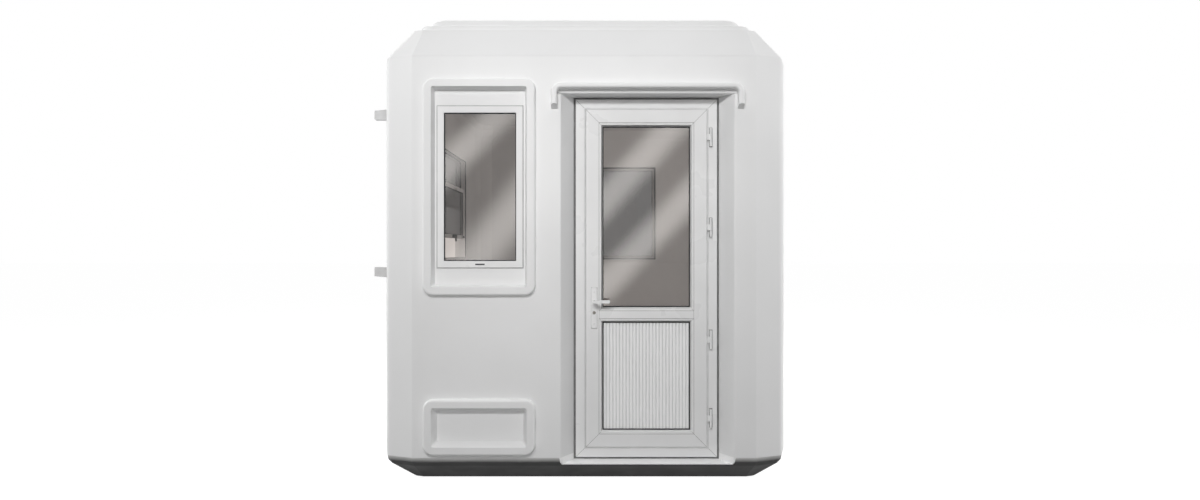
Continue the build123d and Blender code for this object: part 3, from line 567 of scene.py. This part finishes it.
# %% Drain caps
cap_size, cap_drop = Vector((52 * mm, 10 * mm, 0)), 1 * mm
cap_rail, cap_depth, cap_round = 1.5 * mm, 1.6 * mm, 0.4 * mm
drain_slot_step, drain_slot_width, drain_slot_height = 2 * mm, 3.6 * mm, 0.6 * mm
drain_shares = {"front": (0.5,), "back": (0.22, 0.78), "left": (0.2, 0.8), "right": (0.2, 0.8)}
for side, shares in drain_shares.items():
    caps, slot_shade_strips = bmesh.new(), bmesh.new()
    low, high = on_wall(f"{side}_window_frame", side)
    for share in shares:
        middle = Vector((low.x + share * (high.x - low.x), low.y + frame_rail / 2 - cap_drop, 0))
        corners = (middle - cap_size / 2, middle + cap_size / 2)
        add_ring(caps, side, *corners, high.z, cap_rail, cap_depth, cap_round)
        for row in (-1, 1):
            shift = Vector((cap_size.x / 2 - cap_rail, 0, 0))
            line = middle + Vector((0, row * drain_slot_step, 0))
            # Each dark strip is painted shade in a slot.
            add_strip(slot_shade_strips, side, line - shift, line + shift, high.z, drain_slot_width, drain_slot_height)
    fit_piece(f"{side}_drain_caps", caps, white_upvc, "cabin")
    fit_piece(f"{side}_drain_slot_shade", slot_shade_strips, black_abs_and_hole_shade, "cabin")

# %% [markdown]
# Two screws hold each handle plate. A screw head is a low disc with a bevelled rim, and the shade in its
# cross recess is painted as two dark strips on its top.

# %% Screws
disc_sides = 28


def add_disc(shape, side, x, y, level, radius, height, outward, soften):
    """Add a low round head, standing outwards (1) or inwards (-1) from a level."""
    place = Matrix.Translation((x, y, level + outward * height / 2))
    made = bmesh.ops.create_cone(
        shape, cap_ends=True, segments=disc_sides, radius1=radius, radius2=radius, depth=height,
        matrix=walls[side] @ place)
    rim = list({edge for vert in made["verts"] for edge in vert.link_edges
                if {len(face.verts) for face in edge.link_faces} == {4, disc_sides}})
    bmesh.ops.bevel(shape, geom=rim, offset=soften, segments=3, profile=0.5, affect="EDGES", material=-1)


screw_inset = 23.5 * mm
head_radius, head_height, head_round = 3.6 * mm, 1.4 * mm, 0.9 * mm
recess_reach, recess_width, recess_height = 1.9 * mm, 0.8 * mm, 0.25 * mm
heads, recess_shade_strips = bmesh.new(), bmesh.new()
for node, outward in (("handle_plate_outside", 1), ("handle_plate_inside", -1)):
    low, high = on_wall(node, "front")
    level = high.z if outward > 0 else low.z
    top = level + outward * head_height - (recess_height if outward < 0 else 0)
    x = (low.x + high.x) / 2
    for y in (low.y + screw_inset, high.y - screw_inset):
        add_disc(heads, "front", x, y, level, head_radius, head_height, outward, head_round)
        spot = Vector((x, y, 0))
        for step in (Vector((recess_reach, 0, 0)), Vector((0, recess_reach, 0))):
            add_strip(recess_shade_strips, "front", spot - step, spot + step, top, recess_width, recess_height)
fit_piece("handle_screws", heads, powder_coat, "door")
fit_piece("handle_screw_recess_shade", recess_shade_strips, black_abs_and_hole_shade, "door")

# %% [markdown]
# The lock shows its round face on both sides of the door, each with an upright slot for the key. The shade
# in the slot is painted as a dark strip.

# %% Keyholes
slot_reach, slot_width, slot_height = 4.5 * mm, 2 * mm, 0.3 * mm
key_slot_shade_strips = bmesh.new()
low, high = on_wall("lock_cylinder", "front")
spot = Vector(((low.x + high.x) / 2, (low.y + high.y) / 2, 0))
reach = Vector((0, slot_reach, 0))
for level in (high.z, low.z - slot_height):
    add_strip(key_slot_shade_strips, "front", spot - reach, spot + reach, level, slot_width, slot_height)
fit_piece("lock_key_slot_shade", key_slot_shade_strips, black_abs_and_hole_shade, "door")

# %% [markdown]
# The hinges end in small caps, each a short cone with softened edges. Their grey is darker than the hinges
# and paints the shade at the hinge's ends. They belong to the fixed half of the hinge, so they ride on the
# cabin.

# %% Hinge caps
hinge_x, hinge_z = 663.5 * mm, -78 * mm
hinge_shares = (0.086, 0.319, 0.651, 0.918)
hinge_radius, hinge_length = 6.5 * mm, 98 * mm
cap_sides, cap_height, cap_soften, cap_tip_share = 24, 2.6 * mm, 0.4 * mm, 0.55
leaf_height = leaf_box[1].y - leaf_box[0].y
hinge_middles = [leaf_box[0].y + share * leaf_height for share in hinge_shares]
caps = bmesh.new()
for middle in hinge_middles:
    for end in (-1, 1):
        cap_middle = middle + end * (hinge_length + cap_height) / 2
        place = Matrix.Translation((hinge_x, cap_middle, hinge_z))
        turn = Matrix.Rotation(-end * math.pi / 2, 4, "X")
        made = bmesh.ops.create_cone(
            caps, cap_ends=True, segments=cap_sides, radius1=hinge_radius,
            radius2=hinge_radius * cap_tip_share, depth=cap_height,
            matrix=walls["front"] @ place @ turn)
        round_edges(caps, made, cap_soften, 2)
fit_piece("hinge_caps", caps, cap_nylon_painted_shade, "cabin")

# %% [markdown]
# Each hinge stands on a thin grey packer, a little larger than the hinge itself, which shows as its outline:
# the grey rim is painted shade round the hinge's rounded sides.

# %% Hinge packers
packer_width, packer_length, packer_height, packer_shift = 17 * mm, 102 * mm, 1 * mm, 1.5 * mm
outline_packers = bmesh.new()
for middle in hinge_middles:
    spot = Vector((hinge_x + packer_shift, middle, 0))
    reach = Vector((0, packer_length / 2, 0))
    add_strip(outline_packers, "front", spot - reach, spot + reach, frame_box[1].z, packer_width, packer_height)
fit_piece("hinge_packers_painted_outline", outline_packers, grey_epdm, "cabin")

# %% [markdown]
# Each lifting sash has two black latches on the inside of its foot rail, and a small catch near each end.
# A latch is a block with rounded edges and a thumb tab that reaches below the rail.

# %% Sash latches
def add_block(shape, side, middle, size, soften):
    """Add a block with rounded edges on a wall."""
    place = Matrix.Translation(middle) @ Matrix.Diagonal((size.x, size.y, size.z, 1))
    made = bmesh.ops.create_cube(shape, size=1, matrix=walls[side] @ place)
    round_edges(shape, made, soften, 3)


latch_reach, catch_reach = 275 * mm, 640 * mm
latch_size, latch_round = Vector((58 * mm, 24 * mm, 26 * mm)), 4 * mm
tab_size, tab_round = Vector((24 * mm, 38 * mm, 9 * mm)), 2.4 * mm
catch_size, catch_round = Vector((22 * mm, 16 * mm, 14 * mm)), 3 * mm
for side in ("left", "right"):
    latches = bmesh.new()
    low = on_wall(f"{side}_window_sash", side)[0]
    rail_middle = low.y + sash_rail / 2
    tab_level = low.z - latch_size.z + tab_size.z / 2
    for end in (-1, 1):
        latch_spot = Vector((end * latch_reach, rail_middle, low.z - latch_size.z / 2))
        add_block(latches, side, latch_spot, latch_size, latch_round)
        tab_spot = Vector((end * latch_reach, rail_middle - tab_size.y / 2, tab_level))
        add_block(latches, side, tab_spot, tab_size, tab_round)
        catch_spot = Vector((end * catch_reach, rail_middle, low.z - catch_size.z / 2))
        add_block(latches, side, catch_spot, catch_size, catch_round)
    fit_piece(f"{side}_sash_latches", latches, black_abs_and_hole_shade, "cabin")

# %% [markdown]
# The studio is a pale floor and a white world. To the camera, in mirrors and through glass they look white,
# while the light that they send onto the cabin is set apart. The Light Path node tells these rays from each
# other, and one function makes a share from it. The floor keeps part of its own shading, so the cabin still
# stands on its shadow. Its paint is darker for bounced light, so that the walls don't brighten again near
# the ground.

# %% Studio floor
seen_outputs = ("Is Camera Ray", "Is Glossy Ray", "Is Transmission Ray")


def seen_share(tree):
    """1 for rays from the camera, mirrored rays and rays through glass, and 0 for light that bounces."""
    path = add_node(tree, "ShaderNodeLightPath")
    share = path.outputs[seen_outputs[0]]
    for output in seen_outputs[1:]:
        larger = add_node(tree, "ShaderNodeMath", {0: share, 1: path.outputs[output]}, operation="MAXIMUM")
        share = larger.outputs[0]
    return share


def stage_piece(name, shape, material):
    """Turn a bmesh into a part of the studio."""
    mesh = bpy.data.meshes.new(name)
    shape.to_mesh(mesh)
    shape.free()
    mesh.materials.append(material)
    piece = bpy.data.objects.new(name, mesh)
    scene.collection.objects.link(piece)
    return piece


floor_reach, floor_glow_share, glow_strength = 60, 0.5, 1.9
studio_floor, tree, place = blank_material("pale_studio_floor")
glow_share = add_node(tree, "ShaderNodeMath", {
    0: seen_share(tree), 1: floor_glow_share}, operation="MULTIPLY")
shade = add_node(tree, "ShaderNodeMix", {
    "Factor": seen_share(tree), 6: linear("#8C8C8C"), 7: linear("#C2C2C2")}, data_type="RGBA")
paint = add_node(tree, "ShaderNodeBsdfDiffuse", {"Color": shade.outputs[2]})
glow = add_node(tree, "ShaderNodeEmission", {"Color": linear("#FFFFFF"), "Strength": glow_strength})
both = add_node(tree, "ShaderNodeMixShader", {
    "Fac": glow_share.outputs["Value"], 1: paint.outputs["BSDF"], 2: glow.outputs["Emission"]})
add_node(tree, "ShaderNodeOutputMaterial", {"Surface": both.outputs["Shader"]})
ground = bmesh.new()
bmesh.ops.create_grid(ground, x_segments=1, y_segments=1, size=floor_reach)
stage_piece("studio_floor", ground, studio_floor)
print("studio floor", 2 * floor_reach, "m wide")

# %% [markdown]
# The world looks white too, but it sends only a little light of its own, so that corners keep their shade.

# %% White world
ambient_strength = 0.16
world = bpy.data.worlds.new("white_studio")
world.use_nodes = True
tree = world.node_tree
tree.nodes.clear()
strength = add_node(tree, "ShaderNodeMapRange", {
    "Value": seen_share(tree), "To Min": ambient_strength, "To Max": 1.0})
sky = add_node(tree, "ShaderNodeBackground", {
    "Color": linear("#FFFFFF"), "Strength": strength.outputs["Result"]})
add_node(tree, "ShaderNodeOutputWorld", {"Surface": sky.outputs["Background"]})
scene.world = world
print("made", world.name, "with a strength of", ambient_strength, "for bounced light")

# %% [markdown]
# Soft boxes light the cabin. Each is an area lamp that is turned to its target. A lamp would show as a white
# patch in the panes, so lamps are hidden from the camera, from mirrored rays and from rays through glass.
# The key stands in front and a little above, so the walls fade gently towards the ground, and a weak fill
# below it opens the door's foot. A steep strip just in front of the wall gives the drip moulding and the
# sill their bright tops; the roof is flagged off from it, as a photographer would do with a card, and has a
# fill of its own. Weaker boxes keep the other sides from going flat.

# %% Soft boxes
def hide_lamp(lamp_object):
    """Lamps light the cabin but aren't seen, mirrored or looked at through glass."""
    lamp_object.visible_camera = False
    lamp_object.visible_glossy = False
    lamp_object.visible_transmission = False
    scene.collection.objects.link(lamp_object)


def soft_box(name, place, target, width, height, power):
    """A rectangular area lamp at a place, turned to a target."""
    lamp = bpy.data.lights.new(name, "AREA")
    lamp.shape = "RECTANGLE"
    lamp.size, lamp.size_y = width, height
    lamp.energy = power
    box = bpy.data.objects.new(name, lamp)
    box.location = place
    box.rotation_euler = (Vector(target) - Vector(place)).to_track_quat("-Z", "Y").to_euler()
    hide_lamp(box)
    return box


# Each soft box has a place, a target, a width, a height and a power in watts
soft_boxes = {
    "front_key": ((-0.4, -4.7, 3.35), (-0.1, -1.35, 2.2), 2.6, 0.6, 100),
    "front_fill": ((0.1, -5.6, 0.8), (0, -1.35, 0.2), 3.6, 0.5, 12),
    "steep_strip": ((0.1, -2.0, 4.7), (0, -1.40, 0.5), 4.4, 0.3, 20),
    "top_fill": ((0, 0.5, 6.0), (0, 0.3, 2.4), 2.0, 2.4, 66),
    "right_fill": ((4.4, -1.2, 2.3), (1.0, -0.5, 1.4), 1.0, 1.2, 76),
    "left_fill": ((-4.4, -1.1, 2.3), (-1.0, -0.5, 1.4), 1.0, 1.2, 88),
    "back_fill": ((0.6, 4.6, 3.3), (0, 1.35, 1.5), 3.4, 1.0, 104),
}
boxes = {name: soft_box(name, *values) for name, values in soft_boxes.items()}
flag = bpy.data.collections.new("steep_strip_flag")
flag.objects.link(nodes["roof_shell"])
boxes["steep_strip"].light_linking.receiver_collection = flag
for member in flag.collection_objects:
    member.light_linking.link_state = "EXCLUDE"
print(len(boxes), "soft boxes")

# %% [markdown]
# A real room holds daylight that has bounced many times. A soft lamp in the room stands for it.

# %% Room light
room_place, room_power, room_radius = (0.35, -0.1, 1.85), 15.5, 0.3
room_lamp = bpy.data.lights.new("room_light", "POINT")
room_lamp.energy = room_power
room_lamp.shadow_soft_size = room_radius
room_light = bpy.data.objects.new("room_light", room_lamp)
room_light.location = room_place
hide_lamp(room_light)
print("lamps:", [lamp.name for lamp in bpy.data.lights])

# %% [markdown]
# Glass looks like glass through what it mirrors. Photographers hang slanted white strips behind the camera,
# and the panes show them as soft diagonal streaks. Each strip is a long card whose glow fades to its edges.
# A UV map across the card carries the fade.

# %% Glow of the streak cards
streak_strength = 5.5
streak_glow, tree, place = blank_material("streak_card_glow")
card_map = add_node(tree, "ShaderNodeTexCoord").outputs["UV"]
across = add_node(tree, "ShaderNodeSeparateXYZ", {"Vector": card_map})
from_middle = add_node(tree, "ShaderNodeMath", {0: across.outputs["Y"], 1: 0.5}, operation="SUBTRACT")
distance = add_node(tree, "ShaderNodeMath", {0: from_middle.outputs[0]}, operation="ABSOLUTE")
fade = add_node(tree, "ShaderNodeMapRange", {
    "Value": distance.outputs[0], "From Min": 0.5, "From Max": 0.04, "To Min": 0.0,
    "To Max": streak_strength}, interpolation_type="SMOOTHSTEP")
glow = add_node(tree, "ShaderNodeEmission", {"Color": linear("#FFFBF7"), "Strength": fade.outputs["Result"]})
clear = add_node(tree, "ShaderNodeBsdfTransparent")
both = add_node(tree, "ShaderNodeAddShader", {0: glow.outputs["Emission"], 1: clear.outputs["BSDF"]})
add_node(tree, "ShaderNodeOutputMaterial", {"Surface": both.outputs["Shader"]})
print("made", streak_glow.name)

# %% [markdown]
# The cards stand on one plane behind the camera. Only mirrored rays see them, so they add no light to the
# walls.

# %% Streak cards
# Each card has a start, an end and a width
card_plane = -8.0
streaks = (((-0.35, 1.39), (1.65, 3.60), 0.72), ((-0.50, 0.0), (2.0, 2.63), 0.72),
           ((-2.80, 1.82), (-0.70, 3.93), 0.72), ((-2.52, 0.12), (-0.37, 2.79), 1.0))
for number, (start, end, card_width) in enumerate(streaks):
    run = Vector(end) - Vector(start)
    middle = (Vector(start) + Vector(end)) / 2
    stand = Matrix.Rotation(math.pi / 2, 4, "X") @ Matrix.Rotation(math.atan2(run.y, run.x), 4, "Z")
    size = Matrix.Diagonal((run.length, card_width, 1, 1))
    card = bmesh.new()
    card.loops.layers.uv.new("across")
    bmesh.ops.create_grid(
        card, x_segments=1, y_segments=1, size=0.5, calc_uvs=True,
        matrix=Matrix.Translation((middle.x, card_plane, middle.y)) @ stand @ size)
    streak = stage_piece(f"streak_card_{number}", card, streak_glow)
    streak.visible_camera = False
    streak.visible_diffuse = False
    streak.visible_transmission = False
    streak.visible_shadow = False
print(len(streaks), "streak cards")
